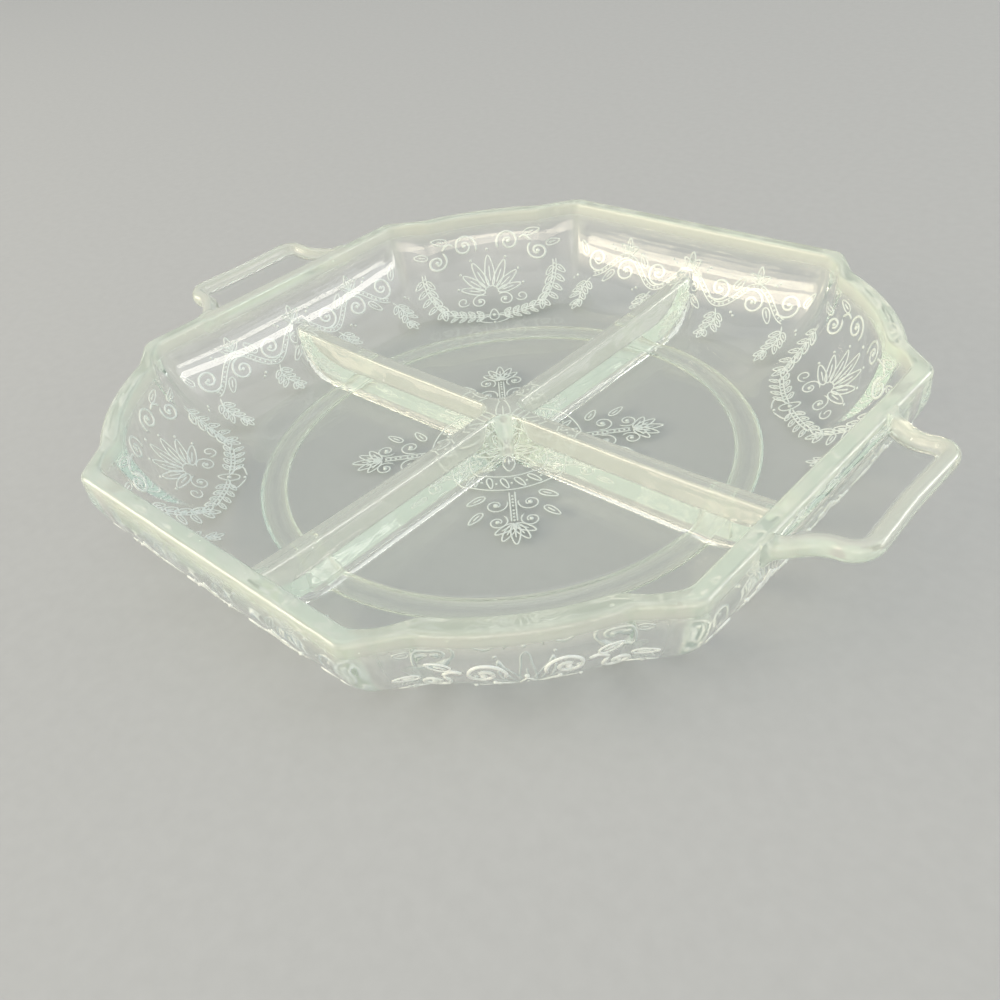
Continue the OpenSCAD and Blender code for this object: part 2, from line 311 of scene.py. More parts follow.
def on_floor(i, j):
    """Plan of a point of the floor's grid, whose lanes follow the dividers."""
    far, near = max(abs(i), abs(j)), min(abs(i), abs(j))
    if far <= LANES:
        return settle(i, j, lanes[far], lanes[near])
    out = (far - LANES) / (COLUMNS - LANES)
    if near <= LANES:
        return settle(i, j, mix(lanes[-1], flat_x, out), lanes[near])
    place = LANES + (near - LANES) / out
    low = min(int(place), COLUMNS - 1)
    turn = mix(floor_turn(low), floor_turn(low + 1), place - low)
    lane_corner = Vector((lanes[-1], lanes[-1]))
    p = lane_corner.lerp(heading(turn) * floor_radius(turn), out)
    return settle(i, j, p.x, p.y)


def on_wall(i, j, spread, reach):
    """Plan of a wall's column at a spread from the floor's outline to that of the rim."""
    near = min(abs(i), abs(j))
    if near <= LANES:
        return settle(i, j, mix(flat_x, reach(0), spread), lanes[near])
    at_floor, at_rim = plan_turns(near)
    turn = mix(at_floor, at_rim, spread)
    r = mix(floor_radius(turn), reach(turn), spread)
    return settle(i, j, r * math.cos(turn), r * math.sin(turn))


def dish_point(i, j, row):
    """Where a point of the closed grid goes: row 0 is the floor inside, the last the underside."""
    if row == 0:
        p = on_floor(i, j)
        p.z = smooth_max(inside_z, divider_height(p.x, p.y), foot_soft)
        return p
    if row == len(rows):
        p = on_floor(i, j) * (ring_section[-1][0] / floor_r)
        p.z = under_z
        return p
    run, t = rows[row - 1]
    if run == INSIDE:
        spread, rise = wall_curve(mix(0, QUARTER_TURN, t), inner_fullness)
        p = on_wall(i, j, spread, lip_radius)
        soft = mix(foot_soft, wall_soft, ease(rise / wall_soft_share))
        p.z = smooth_max(mix(inside_z, lip_z, rise), divider_height(p.x, p.y), soft)
        return p
    if run == OUTSIDE:
        spread, rise = wall_curve(mix(QUARTER_TURN, 0, t), outer_fullness)
        p = on_wall(i, j, spread, rim_radius)
        p.z = mix(under_z, band_z, rise)
        return p
    if run == RING:
        r, z = ring_section[round(t * len(ring_section)) - 1]
        p = on_wall(i, j, 0, rim_radius).normalized() * r
        p.z = z
        return p
    inner, outer = on_wall(i, j, 1, lip_radius), on_wall(i, j, 1, rim_radius)
    across = (outer - inner).length
    a = QUARTER_TURN * t
    depth, z = {
        LIP: (rim_inner_r * (1 - math.cos(a)), lip_z + rim_inner_r * math.sin(a)),
        TOP: (mix(rim_inner_r, across - rim_outer_r, t), rim_top),
        EDGE: (across - rim_outer_r * (1 - math.sin(a)), rim_top - rim_outer_r * (1 - math.cos(a))),
        BAND: (across, mix(rim_top - rim_outer_r, band_z, t)),
    }[run]
    p = inner.lerp(outer, depth / across)
    p.z = z
    return p


def new_piece(name, mesh_maker, material):
    """A finished object from a bmesh, at the origin, smooth, with its faces outwards."""
    bm = bmesh.new()
    mesh_maker(bm)
    bmesh.ops.recalc_face_normals(bm, faces=bm.faces)
    for face in bm.faces:
        face.smooth = True
    mesh = bpy.data.meshes.new(name)
    bm.to_mesh(mesh)
    bm.free()
    piece = bpy.data.objects.new(name, mesh)
    bpy.context.scene.collection.objects.link(piece)
    mesh.materials.append(material)
    return piece


def make_dish(bm):
    """A closed box of square cells, which dish_point bends into the dish."""
    cells = {"x_segments": 2 * COLUMNS, "y_segments": 2 * COLUMNS, "size": COLUMNS}
    bmesh.ops.create_grid(bm, **cells)
    border = [e for e in bm.edges if e.is_boundary]
    for _ in rows:
        made = bmesh.ops.extrude_edge_only(bm, edges=border)["geom"]
        raised = [v for v in made if isinstance(v, bmesh.types.BMVert)]
        bmesh.ops.translate(bm, vec=(0, 0, 1), verts=raised)
        border = [e for e in made if isinstance(e, bmesh.types.BMEdge)]
    bmesh.ops.create_grid(bm, matrix=Matrix.Translation((0, 0, len(rows))), **cells)
    bmesh.ops.remove_doubles(bm, verts=bm.verts, dist=same_cell)
    for v in bm.verts:
        v.co = dish_point(*(round(c) for c in v.co))


def moved_in(a, b, c, w):
    """Corner b of the path a, b, c, moved in by w square to both of its edges."""
    m, n = (b - a).normalized(), (c - b).normalized()
    m, n = Vector((m.y, -m.x)), Vector((n.y, -n.x))
    return b + (m + n) * w / (1 + m.dot(n))


def half_path(corners, neck_r, end_r):
    """Half of a handle's outline, with its neck and its end's corner rounded."""
    neck = corner_arc(*corners[1:4], neck_r, HANDLE_ARC)
    return [corners[0], corners[1]] + neck + corner_arc(*corners[2:5], end_r, HANDLE_ARC) + [corners[-1]]


# Half of a handle's outline, from inside the rim round its end to its middle. The inner path
# is the inside of the border, with its points matched to those of the outer one.
root_x = half - root_depth
neck_slope = (handle_root - handle_neck) / handle_neck_out
root_in = handle_root - border_w * math.sqrt(1 + neck_slope ** 2)
outer_corners = [Vector((root_x, handle_root)), Vector((half, handle_root)),
                 Vector((half + handle_neck_out, handle_neck)), Vector((handle_end, handle_half)),
                 Vector((handle_end - handle_dip, 0))]
inner_corners = [Vector((root_x, root_in)), Vector((half, root_in)),
                 moved_in(*outer_corners[1:4], border_w), moved_in(*outer_corners[2:5], border_w),
                 Vector((handle_end - handle_dip - border_w, 0))]
outer_path = half_path(outer_corners, handle_neck_r, handle_corner_r)
inner_path = half_path(inner_corners, handle_neck_r + border_w, handle_corner_r - border_w)
end_corner = 1 + (HANDLE_ARC + 1) + HANDLE_ARC // 2

spine_end = Vector((handle_end - spine_gap, 0))
border_top = rim_top - handle_drop
border_z = border_top - border_h
web_top = border_top - web_recess
web_z = web_top - web_t
bead_mid = (border_top + border_z) / 2


def path_shares(path):
    """Share of the path's length that lies before each of its points."""
    lengths = [0.0]
    for a, b in zip(path, path[1:]):
        lengths.append(lengths[-1] + (b - a).length)
    return [v / lengths[-1] for v in lengths]


# Stretches of the outline as its first point and the shares of its length: the side up to
# the corner of the end, and the end from there to its middle
side_stretch = (0, path_shares(outer_path[:end_corner + 1]))
end_stretch = (end_corner, path_shares(outer_path[end_corner:]))


def along(path, stretch, share):
    """Point of path at a share of the way along a stretch of the outline."""
    first, shares = stretch
    k = next((k for k in range(1, len(shares)) if share <= shares[k] + same_share), len(shares) - 1)
    t = min((share - shares[k - 1]) / (shares[k] - shares[k - 1]), 1)
    return path[first + k - 1].lerp(path[first + k], t)


def bead_heights(share):
    """Heights of the top and the underside across the border, from its outer edge inwards."""
    top, low = border_top, border_z
    if share < crown_share:
        swell = math.sqrt(1 - (1 - share / crown_share) ** 2)
        top, low = mix(bead_mid, border_top, swell), mix(bead_mid, border_z, swell)
    inner = ease((share - 1 + slope_share) / slope_share)
    return mix(top, web_top, inner), mix(low, web_z, inner)


def handle_lift(x):
    return handle_rise * max(0.0, x - half) / (handle_end - half)


def handle_point(a, b, side):
    """Where a point of the handle's closed grid goes. a runs outwards, b across."""
    ring = min(HALF_COLUMNS - abs(b), SIDE_ROWS - a)
    if HALF_COLUMNS - abs(b) <= SIDE_ROWS - a:
        stretch, share = side_stretch, a / (SIDE_ROWS - ring)
        spine = Vector((root_x, 0)).lerp(spine_end, share)
    else:
        stretch, share = end_stretch, 1 - abs(b) / (HALF_COLUMNS - ring)
        spine = spine_end
    outer, inner = along(outer_path, stretch, share), along(inner_path, stretch, share)
    if ring <= BORDER_ROWS:
        if ring < BEAD_ROWS:
            inward = crown_share * (1 - math.cos(QUARTER_TURN * ring / BEAD_ROWS))
        else:
            inward = mix(crown_share, 1, (ring - BEAD_ROWS) / (BORDER_ROWS - BEAD_ROWS))
        p = outer.lerp(inner, inward)
        top, low = bead_heights(inward)
    else:
        p = inner.lerp(spine, (ring - BORDER_ROWS) / (HALF_COLUMNS - BORDER_ROWS))
        top, low = web_top, web_z
    t = min(max((p.x - half) / root_r, root_least_share), 1)
    flare = root_r * (1 - math.sqrt(1 - (1 - t) ** 2))
    if ring == 0:
        z = bead_mid
    elif side > 0:
        z = min(top + flare, max(top, rim_top - root_top_gap))
    else:
        z = low - flare
    y = p.y + (flare if ring <= BEAD_ROWS else 0)
    return Vector((p.x, math.copysign(y, b) if b else 0, z + handle_lift(p.x)))


def make_handle(bm):
    """A flat closed grid, whose top and underside meet round the handle's outer edge."""
    for side in (1, -1):
        bmesh.ops.create_grid(bm, x_segments=SIDE_ROWS, y_segments=2 * HALF_COLUMNS, size=0.5,
                              matrix=Matrix.Translation((0, 0, side)))
    for v in bm.verts:
        a, b = round((v.co.x + 0.5) * SIDE_ROWS), round(v.co.y * 2 * HALF_COLUMNS)
        v.co = handle_point(a, b, v.co.z)
    bmesh.ops.remove_doubles(bm, verts=bm.verts, dist=same_place)
    bmesh.ops.holes_fill(bm, edges=[e for e in bm.edges if e.is_boundary], sides=0)


def make_left_handle(bm):
    make_handle(bm)
    bmesh.ops.rotate(bm, matrix=Matrix.Rotation(math.pi, 3, "Z"), verts=bm.verts)


def union(body, tools):
    """The body with the closed solids in tools melted into it."""
    for tool in tools:
        join = body.modifiers.new("join", "BOOLEAN")
        join.operation, join.solver, join.object = "UNION", "EXACT", tool
    seen = bpy.context.evaluated_depsgraph_get()
    joined = bpy.data.meshes.new_from_object(body.evaluated_get(seen))
    body.modifiers.clear()
    body.data = joined
    for tool in tools:
        bpy.data.objects.remove(tool)
    joined.set_sharp_from_angle(angle=sharp_edge)
    return body


# How much the glass shows pale green and painted glow, from 0 for clear to 1 for pale, milky green, and
# how wide its fades are. The green is that of thick glass; the milky brightness is painted light that
# stands in for light caught inside the glass
thin_look = 0.03
bead_look, web_look, root_look = 0.9, 0.05, 0.6
ridge_look, crease_look = 0.72, 0.5
ring_edge_look, ring_face_look, ring_fade, ring_skin = 1.0, 0.3, 2.2 * MM, 0.1 * MM
ridge_fade, ridge_margin, ridge_skin, ridge_cover = 1.4 * MM, 2 * MM, 0.3 * MM, 1.0 * MM
bead_fade_from = 0.5
ear_line = math.atan2(ear.y, ear.x)
crease_half = math.radians(2.2)


def edge_distance(p):
    """Distance in plan of a point from the outer edge of the handle."""
    nearest = half
    for a, b in zip(outer_path, outer_path[1:]):
        way = b - a
        t = min(max((p - a).dot(way) / way.length_squared, 0.0), 1.0)
        nearest = min(nearest, (p - a - way * t).length)
    return nearest


def green_and_painted_glow(p):
    """How much the glass at a point shows pale green and painted glow, from 0 to 1: the green of thick
    glass, whitened with painted highlights where light would be caught inside it.
    """
    x, y, z, r = abs(p.x), abs(p.y), p.z, math.hypot(p.x, p.y)
    if x > half:
        # Painted glow on the handle: the bead and the root are made milky and bright, standing in for
        # highlights caught inside the border
        inward = edge_distance(Vector((x, y))) / border_w
        bead = mix(bead_look, web_look, ease((inward - bead_fade_from) / (1 - bead_fade_from)))
        return max(bead, root_look * (1 - ease((x - half) / root_r)))
    # The rim: the pale green of its thick edge, whitened with painted glow for the light caught inside
    # it
    rim = ease((z - band_z) / (rim_top - rim_outer_r - band_z))
    ridge, ring, crease = 0.0, 0.0, 0.0
    top = divider_height(x, y)
    # Painted glow on the dividers: their flanks are made milky and bright, standing in for light caught
    # inside them
    if min(x, y) < divider_foot + ridge_margin and inside_z < z < top + ridge_skin:
        if r < floor_r or z > top - ridge_cover:
            ridge = ridge_look * ease((z - inside_z) / ridge_fade)
    # Painted highlight on the foot ring: its edges are whitened where light would be caught in them
    if z < under_z - ring_skin:
        ring = max(mix(ring_edge_look, ring_face_look, ease((ring_out - r) / ring_fade)),
                   mix(ring_edge_look, ring_face_look, ease((r - ring_in) / ring_fade)))
    # Painted highlight: a pale streak down each ear's crease
    if z > under_z:
        off = abs(folded(math.atan2(y, x)) - ear_line) / crease_half
        crease = crease_look * max(0.0, 1 - off) * ease((z - under_z) / (band_z - under_z))
    return max(rim, ridge, ring, crease, thin_look)


def mark_green_and_painted_glow(piece):
    layer = piece.data.attributes.new("green_and_painted_glow", "FLOAT", "POINT")
    layer.data.foreach_set("value", [green_and_painted_glow(v.co) for v in piece.data.vertices])


# Relief, drawn flat in millimetres along and up a panel and then bent onto the glass
LINE_SIDES, LEAST_STEPS = 5, 5
line_r = 0.24
bold_r = 0.42
line_step = 0.75
berry_r = 0.42
dot_r = 0.5
same_line_point = 1e-4

# How a curl closes, as a power of the way along it
curl_closing = 0.8

# Leaves, as shares of their width or length. A fan's leaf turned by fan_closing has no length.
leaf_belly, leaf_taper, leaf_round = 1.15, 0.5, 2.2
vein_from, vein_to = 0.15, 0.7
fan_closing = 250


def sampled(point, length, closed=False):
    """Points of a flat path about a line's step apart. point takes the share of the way."""
    n = max(LEAST_STEPS, round(length / line_step))
    return [point(i / n) for i in range(n if closed else n + 1)]


def curl_path(mid, first_r, last_r, first, last):
    """A spiral about mid, by its radii and its angles in degrees."""
    def point(t):
        return mid + heading(math.radians(mix(first, last, t))) * mix(first_r, last_r, t ** curl_closing)
    return sampled(point, math.radians(abs(last - first)) * (first_r + last_r) / 2)


def leaf_outline(foot, tip, width):
    """A closed leaf outline, fullest a little below its middle."""
    way = tip - foot
    across = Vector((-way.y, way.x)).normalized() * width / 2

    def point(t):
        a = 2 * math.pi * t
        share = (1 - math.cos(a)) / 2
        return foot + way * share + across * math.sin(a) * (leaf_belly - leaf_taper * share)
    return sampled(point, leaf_round * way.length, closed=True)


def beside(path, gap):
    """The path moved sideways by gap."""
    moved = []
    for i, p in enumerate(path):
        way = (path[min(i + 1, len(path) - 1)] - path[max(i - 1, 0)]).normalized()
        moved.append(p + Vector((-way.y, way.x)) * gap)
    return moved


class Relief:
    """Lines and berries of one panel."""

    def __init__(self):
        self.lines, self.berries = [], []

    def line(self, path, closed=False, r=line_r):
        self.lines.append((path, closed, r))

    def berry(self, place, r=berry_r):
        self.berries.append((Vector(place), r))

    def curl(self, mid, radii, angles, r=line_r, eye_r=None):
        """A spiral, with a berry in its eye where eye_r is given."""
        self.line(curl_path(Vector(mid), *radii, *angles), r=r)
        if eye_r:
            self.berry(mid, eye_r)

    def stem(self, path, gap, pitch):
        """A pair of lines with a row of berries between them."""
        self.line(beside(path, gap))
        self.line(beside(path, -gap))
        run = 0.0
        for a, b in zip(path, path[1:]):
            run += (b - a).length
            if run >= pitch:
                run -= pitch
                self.berry(b)

    def leaf(self, foot, tip, width, vein=True):
        foot, tip = Vector(foot), Vector(tip)
        self.line(leaf_outline(foot, tip, width), closed=True)
        if vein:
            length = (vein_to - vein_from) * (tip - foot).length
            self.line(sampled(lambda t: foot.lerp(tip, mix(vein_from, vein_to, t)), length))

    def leaf_pairs(self, path, places, pair, width):
        """Two leaves at each numbered place of a path, as (foot, tip) beside that point."""
        for i in places:
            for foot, tip in pair:
                self.leaf(path[i] + Vector(foot), path[i] + Vector(tip), width)

    def fan(self, foot, way, length, width, turns):
        """Leaves spread about a direction in degrees, the middle ones longest."""
        for turn in turns:
            step = heading(math.radians(way + turn))
            self.leaf(foot, Vector(foot) + step * length * (1 - abs(turn) / fan_closing), width)

    def mirrored(self, other):
        """Takes over another relief and its mirror image across the upright axis."""
        for path, closed, r in other.lines:
            self.line(path, closed, r)
            self.line([Vector((-p.x, p.y)) for p in path], closed, r)
        for p, r in other.berries:
            self.berry(p, r)
            self.berry((-p.x, p.y), r)

    def turned(self, other, degrees):
        """Takes over another relief, turned about the middle."""
        c, s = heading(math.radians(degrees))

        def turn(p):
            return Vector((p.x * c - p.y * s, p.x * s + p.y * c))
        for path, closed, r in other.lines:
            self.line([turn(p) for p in path], closed, r)
        for p, r in other.berries:
            self.berry(turn(p), r)

    def make(self, bm, place):
        """Every line as a round-backed strip and every berry as a small ball, put in place."""
        for path, closed, full_r in self.lines:
            n = len(path)
            steps = n if closed else n - 1
            strip = bmesh.ops.create_grid(bm, x_segments=steps, y_segments=LINE_SIDES, size=0.5)["verts"]
            for v in strip:
                i, a = round((v.co.x + 0.5) * steps), 2 * math.pi * (v.co.y + 0.5)
                if closed:
                    here, way = path[i % n], path[(i + 1) % n] - path[(i - 1) % n]
                    r = full_r
                else:
                    here, way = path[i], path[min(i + 1, n - 1)] - path[max(i - 1, 0)]
                    r = full_r if 0 < i < n - 1 else 0.0
                side = Vector((-way.y, way.x)).normalized() * r * math.cos(a)
                v.co = (here.x + side.x, here.y + side.y, r * math.sin(a))
            bmesh.ops.remove_doubles(bm, verts=strip, dist=same_line_point)
        for p, r in self.berries:
            bmesh.ops.create_icosphere(bm, subdivisions=1, radius=r,
                                       matrix=Matrix.Translation((p.x, p.y, 0)))
        for v in bm.verts:
            v.co = place(v.co)


# Directions in degrees
OUT, UP, DOWN = 0, 90, 270


def bowed(start, end, bow, length):
    """A path that bows out sideways between its two ends."""
    start, end, bow = Vector(start), Vector(end), Vector(bow)
    return sampled(lambda t: start.lerp(end, t) + bow * math.sin(math.pi * t), length)


def bent(start, end, powers, length):
    """A path whose x and y run from start to end as these powers of the way along it."""
    return sampled(lambda t: Vector([mix(a, b, t ** n) for a, b, n in zip(start, end, powers)]), length)


def flipped(place, up):
    """A place beside a crest, turned over where the crest points down."""
    return Vector((place[0], place[1] * up))


def sprig(relief, top):
    """A short hanging twig with three pairs of leaves and a fan at its end."""
    drop, bow = 9.6, 1.6
    leaves, leaf_w = (((0.4, 0), (3.4, -2.4)), ((-0.4, 0), (-3.4, -2.4))), 1.8
    twig = bowed(top, top - Vector((0, drop)), (bow, 0), drop)
    relief.line(twig)
    relief.leaf_pairs(twig, (3, 6, 9), leaves, leaf_w)
    relief.fan(twig[-1], DOWN, length=4.2, width=2.0, turns=(-40, 0, 40))


def vine():
    """A waving stem with curls in its hollows, leaves on its crests and hanging sprigs."""
    wave, waves, swing, level, stem_len, crest_gap = 26.0, 1.5, 4.6, 28.5, 48, 1.2
    eye, eye_r, curl_radii, curl_turns = (-0.6, -1.1), 0.75, (4.8, 1.0), (-40, -560)
    side_foot, side_tip, side_w = (5.2, -0.6), (8.4, -5.4), 2.6
    crest_turns, first_turns = (-52, 0, 52), (0, 46)
    dots = (((6.2, 0.4), 0.6), ((7.4, 1.4), dot_r))
    middle_eye, middle_radii, middle_turns = (2.4, -0.6), (2.6, 0.8), (150, -330)
    middle_leaves = (((0.9, -3.6), (2.8, -10.4), 2.6), ((2.4, -3.8), (7.2, -7.8), 2.4))
    tail_foot, tail_tip, tail_w = (0, -9), (0, -17), 2.8
    middle = Vector((0, level))
    half_vine = Relief()

    def stem_point(t):
        return Vector((wave * waves * t, level + swing * math.cos(2 * math.pi * waves * t)))
    half_vine.stem(sampled(stem_point, stem_len), gap=0.75, pitch=1.7)
    for k in range(round(2 * waves) + 1):
        up = 1 if k % 2 == 0 else -1
        hollow = Vector((wave / 2 * k, level))
        crest = hollow + flipped((0, swing + crest_gap), up)
        if k:
            mid = hollow + flipped(eye, up)
            half_vine.curl(mid, curl_radii, [180 + a * up for a in curl_turns], bold_r, eye_r)
            half_vine.leaf(mid + flipped(side_foot, up), mid + flipped(side_tip, up), side_w)
        if up > 0:
            half_vine.fan(crest, UP, length=5.4, width=2.3, turns=crest_turns if k else first_turns)
        else:
            sprig(half_vine, crest)
        for place, r in dots:
            half_vine.berry(crest + flipped(place, up), r)
    half_vine.curl(middle + Vector(middle_eye), middle_radii, middle_turns)
    for foot, tip, width in middle_leaves:
        half_vine.leaf(middle + Vector(foot), middle + Vector(tip), width)
    whole = Relief()
    whole.mirrored(half_vine)
    whole.leaf(middle + Vector(tail_foot), middle + Vector(tail_tip), tail_w)
    return whole


def palmette():
    """A fan of petals on curls, under two scrolls, with leafy garlands beside and under it."""
    foot = Vector((0, 19.5))
    petals, petal_from, petal_dot = ((24, 13.4, 3.2), (48, 12.2, 3.0), (72, 10.6, 2.8)), 0.22, 1.09
    curls = (((4.2, 16.6), (3.2, 0.8), (140, -330), line_r, 0.7),
             ((9.8, 17.6), (2.4, 0.7), (200, 620), line_r, None),
             ((7.6, 38.0), (4.4, 0.9), (215, -330), bold_r, 0.8),
             ((17.2, 34.2), (3.6, 0.8), (120, 640), bold_r, 0.7))
    scroll_leaves = (((13.4, 40.2), (18.2, 41.6), 2.4), ((19.8, 36.4), (24.8, 36.8), 2.2))
    hanging_leaves, hanging_w = (((0.6, 0), (3.4, -3.0)), ((-0.6, 0), (-3.2, -3.0))), 1.9
    spray_leaves, spray_w = (((0, 0.7), (2.0, 3.0)), ((0, -0.7), (2.4, -2.6))), 1.5
    petal_above, petal_above_w = (foot + Vector((0, 3)), foot + Vector((0, 14.4))), 3.4
    knot, knot_w = ((0, 6.4), (0, 12.4)), 3.2
    middle_berries = ((36, 0.6), (9.4, 0.7), (5.0, dot_r))
    half_fan = Relief()
    for turn, length, width in petals:
        petal = heading(math.radians(UP - turn)) * length
        half_fan.leaf(foot + petal * petal_from, foot + petal, width)
        half_fan.berry(foot + petal * petal_dot, dot_r)
    for curl in curls:
        half_fan.curl(*curl)
    for leaf in scroll_leaves:
        half_fan.leaf(*leaf)
    half_fan.line(bowed((11.2, 38.6), (15.6, 37.4), bow=(0, 1.5), length=5), r=bold_r)
    hanging = bent((22.2, 31.0), (16.6, 15.2), powers=(2, 1), length=17)
    half_fan.stem(hanging, gap=0.55, pitch=1.7)
    half_fan.leaf_pairs(hanging, range(4, len(hanging) - 2, 5), hanging_leaves, hanging_w)
    half_fan.fan(hanging[-1], DOWN - 8, length=4.6, width=2.0, turns=(-42, 0, 42))
    spray = bent((1.4, 9.2), (13.6, 12.6), powers=(1, 2), length=13)
    half_fan.stem(spray, gap=0.5, pitch=1.6)
    half_fan.leaf_pairs(spray, range(3, len(spray), 4), spray_leaves, spray_w)
    half_fan.line(bowed((0.4, 9.6), (0.4, 4.4), bow=(4.4, 0), length=10))
    whole = Relief()
    whole.mirrored(half_fan)
    whole.leaf(*petal_above, petal_above_w)
    whole.leaf(*knot, knot_w, vein=False)
    for height, r in middle_berries:
        whole.berry((0, height), r)
    return whole


def rosette():
    """A rosette in a leafy ring, with a spray in each quarter."""
    petals, ring_leaves, rings, quarters = 8, 28, (2.6, 16.2, 22.4), 4
    curls = (((29.0, 4.8), (3.6, 0.9), (-120, 330), 0.8), ((36.4, 4.6), (3.2, 0.9), (-150, 320), 0.7))
    leaves = (((24.6, 7.6), (27.6, 12.6), 2.6), ((31.6, 8.6), (36.0, 12.4), 2.4))
    whole, petal, ring_leaf, spray = Relief(), Relief(), Relief(), Relief()
    petal.leaf((3.4, 0), (13.6, 0), width=4.6)
    petal.berry((11.6, 4.8), r=0.6)
    for i in range(petals):
        whole.turned(petal, 360 / petals * i)
    for r in rings:
        circle = sampled(lambda t: heading(2 * math.pi * t) * r, 2 * math.pi * r, closed=True)
        whole.line(circle, closed=True)
    ring_leaf.leaf((17.0, -0.6), (21.6, 1.6), width=1.7, vein=False)
    ring_leaf.berry((19.3, 2.4))
    for i in range(ring_leaves):
        whole.turned(ring_leaf, 360 / ring_leaves * i)
    spray.stem(bent((23.4, 0), (37, 0), powers=(1, 1), length=14), gap=0.8, pitch=1.6)
    for side in (1, -1):
        for mid, radii, turns, eye_r in curls:
            spray.curl(flipped(mid, side), radii, [a * side for a in turns], line_r, eye_r)
        for foot, tip, width in leaves:
            spray.leaf(flipped(foot, side), flipped(tip, side), width)
    spray.fan((38.0, 0), OUT, length=8.4, width=2.8, turns=(-58, -29, 0, 29, 58))
    for i in range(quarters):
        whole.turned(spray, 360 / quarters * (i + 0.5))
    return whole


# Steps along a wall's curve, and the distance in millimetres over which its slope is taken
CURVE_STEPS = 90
tilt_step = 0.3


def wall_rises(reach, floor_reach):
    """Distances up the outside of a wall in millimetres, with the angle on its curve at each."""
    table, last = [(0.0, 0.0)], Vector((floor_reach, under_z))
    for i in range(1, CURVE_STEPS + 1):
        a = QUARTER_TURN * i / CURVE_STEPS
        spread, rise = wall_curve(a, outer_fullness)
        here = Vector((mix(floor_reach, reach, spread), mix(under_z, band_z, rise)))
        table.append((table[-1][0] + (here - last).length / MM, a))
        last = here
    return table


def onto_wall(middle_turn, reach, floor_reach, scale=1.0):
    """The bend that puts a flat panel's points onto the outside of the wall."""
    table = wall_rises(reach, floor_reach)

    def surface(u, v):
        k = next((k for k in range(1, len(table)) if v <= table[k][0]), len(table) - 1)
        (v0, a0), (v1, a1) = table[k - 1], table[k]
        spread, rise = wall_curve(mix(a0, a1, (v - v0) / (v1 - v0)), outer_fullness)
        turn = middle_turn + math.atan2(u * MM, mix(floor_reach, reach, spread))
        r = mix(floor_radius(turn), rim_radius(turn), spread)
        return Vector((r * math.cos(turn), r * math.sin(turn), mix(under_z, band_z, rise)))

    def place(p):
        u, v = p.x * scale, p.y * scale
        here = surface(u, v)
        normal = (surface(u + tilt_step, v) - here).cross(surface(u, v + tilt_step) - here).normalized()
        return here + normal * p.z * MM
    return place


def under_floor(p):
    return Vector((p.x * MM, p.y * MM, under_z - p.z * MM))


def relief_piece(name, relief, place, material, quarter_turns=0):
    """A relief put in its place and turned round the tray to its own panel."""
    def maker(bm):
        relief.make(bm, place)
        turned = Matrix.Rotation(QUARTER_TURN * quarter_turns, 3, "Z")
        bmesh.ops.rotate(bm, matrix=turned, verts=bm.verts)
    return new_piece(name, maker, material)


# Widths of the patterns in the materials. The specks and the grains are finer than this on
# real glass and paint, and are drawn as coarse as the picture shows.
ripple_width = 14 * MM
ripple_height = 0.6 * MM
speck_spacing = 3 * MM
relief_grain = 1.4 * MM
paint_grain = 4 * MM

# Share of the cells without a speck, and how often light may bounce inside the glass
bare_share = 0.72
mirrorings, bounces = 2, 7

# Sockets of a colour Mix node, which share their names with those for other kinds of value
FACTOR, COLOUR_A, COLOUR_B, COLOUR_RESULT = 0, 6, 7, 2


def linear(hex_colour):
    """A linear colour from sRGB hex."""
    parts = [int(hex_colour[i:i + 2], 16) / 255 for i in (1, 3, 5)]
    return [c / 12.92 if c <= 0.04045 else ((c + 0.055) / 1.055) ** 2.4 for c in parts] + [1.0]


def add(tree, kind, settings=None, inputs=()):
    """A node with its settings. Its inputs, by name or in order, are set, or linked to another
    node's output, which is the first one where the node itself is given."""
    node = tree.nodes.new(kind)
    for name, value in (settings or {}).items():
        setattr(node, name, value)
    for name, value in inputs.items() if isinstance(inputs, dict) else enumerate(inputs):
        if isinstance(value, bpy.types.Node):
            value = value.outputs[0]
        if isinstance(value, bpy.types.NodeSocket):
            tree.links.new(value, node.inputs[name])
        else:
            node.inputs[name].default_value = value
    return node


def new_material(name):
    """A material with its empty node tree and its Object coordinates."""
    material = bpy.data.materials.new(name)
    material.use_nodes = True
    tree = material.node_tree
    tree.nodes.clear()
    return material, tree, add(tree, "ShaderNodeTexCoord").outputs["Object"]


